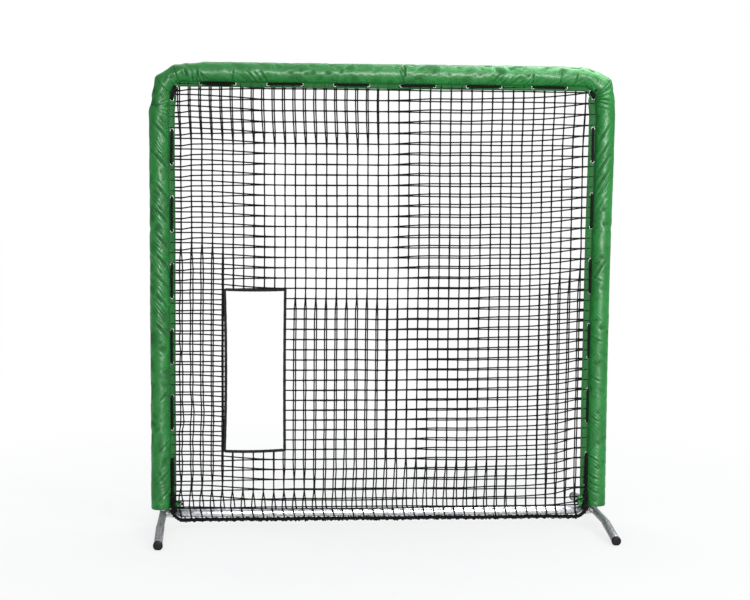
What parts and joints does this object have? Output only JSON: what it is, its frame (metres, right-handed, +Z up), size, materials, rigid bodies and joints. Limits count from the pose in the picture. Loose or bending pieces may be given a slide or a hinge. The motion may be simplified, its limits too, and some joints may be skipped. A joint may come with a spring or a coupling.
{
  "type": "pitching target net",
  "caption": "Padded square screen with a double net and a bound target opening low in one corner, standing on slip-on feet for throwing practice.",
  "frame": {"origin": "on the floor under the middle of the frame", "axes": "+X to the right seen from the thrower's side, +Y away from the thrower through the net, +Z up"},
  "size_m": [2.134, 0.9738, 2.134],
  "materials": {
    "galvanised": "galvanised tube, faint spangle",
    "galvanised_dark": "galvanised tube, dulled",
    "zinc": "zinc-plated screw",
    "foot_rubber": "moulded black rubber",
    "vinyl": "glossy green coated vinyl",
    "foam": "closed-cell foam",
    "twine": "black knotted twine",
    "webbing": "black woven webbing",
    "cord": "black braided cord"
  },
  "bodies": {
    "frame": {"left_base": "galvanised_dark", "left_upright": "galvanised", "left_elbow": "galvanised", "left_top_rail": "galvanised", "left_base_screw": "zinc", "left_elbow_screw": "zinc", "left_top_screw": "zinc", "left_coupler_screw": "zinc", "left_rail_screw": "zinc", "left_upright_cover": "vinyl", "left_corner_cover": "vinyl", "left_cover_tab": "vinyl", "left_upright_foam": "foam", "left_corner_foam": "foam", "left_lace": "cord", "left_corner_lace": "cord", "right_base": "galvanised_dark", "right_upright": "galvanised", "right_elbow": "galvanised", "right_top_rail": "galvanised", "right_base_screw": "zinc", "right_elbow_screw": "zinc", "right_top_screw": "zinc", "right_coupler_screw": "zinc", "right_rail_screw": "zinc", "right_upright_cover": "vinyl", "right_corner_cover": "vinyl", "right_cover_tab": "vinyl", "right_upright_foam": "foam", "right_corner_foam": "foam", "right_lace": "cord", "right_corner_lace": "cord", "top_coupler": "galvanised_dark", "bottom_rail": "galvanised", "top_cover": "vinyl", "top_foam": "foam", "top_lace": "cord", "net_front": "twine", "net_back": "twine", "target_binding": "webbing", "bottom_rope": "cord"},
    "front_left_foot": {"front_left_foot_tube": "galvanised_dark", "front_left_foot_cap": "foot_rubber"},
    "rear_left_foot": {"rear_left_foot_tube": "galvanised_dark", "rear_left_foot_cap": "foot_rubber"},
    "front_right_foot": {"front_right_foot_tube": "galvanised_dark", "front_right_foot_cap": "foot_rubber"},
    "rear_right_foot": {"rear_right_foot_tube": "galvanised_dark", "rear_right_foot_cap": "foot_rubber"}
  },
  "joints": [
    {"name": "front_left_foot_slide", "type": "slide", "parent": "frame", "child": "front_left_foot", "axis": [0, -0.9877, -0.1564], "range_m": [0, 0.1]},
    {"name": "rear_left_foot_slide", "type": "slide", "parent": "frame", "child": "rear_left_foot", "axis": [0, 0.9877, -0.1564], "range_m": [0, 0.1]},
    {"name": "front_right_foot_slide", "type": "slide", "parent": "frame", "child": "front_right_foot", "axis": [0, -0.9877, -0.1564], "range_m": [0, 0.1]},
    {"name": "rear_right_foot_slide", "type": "slide", "parent": "frame", "child": "rear_right_foot", "axis": [0, 0.9877, -0.1564], "range_m": [0, 0.1]}
  ]
}
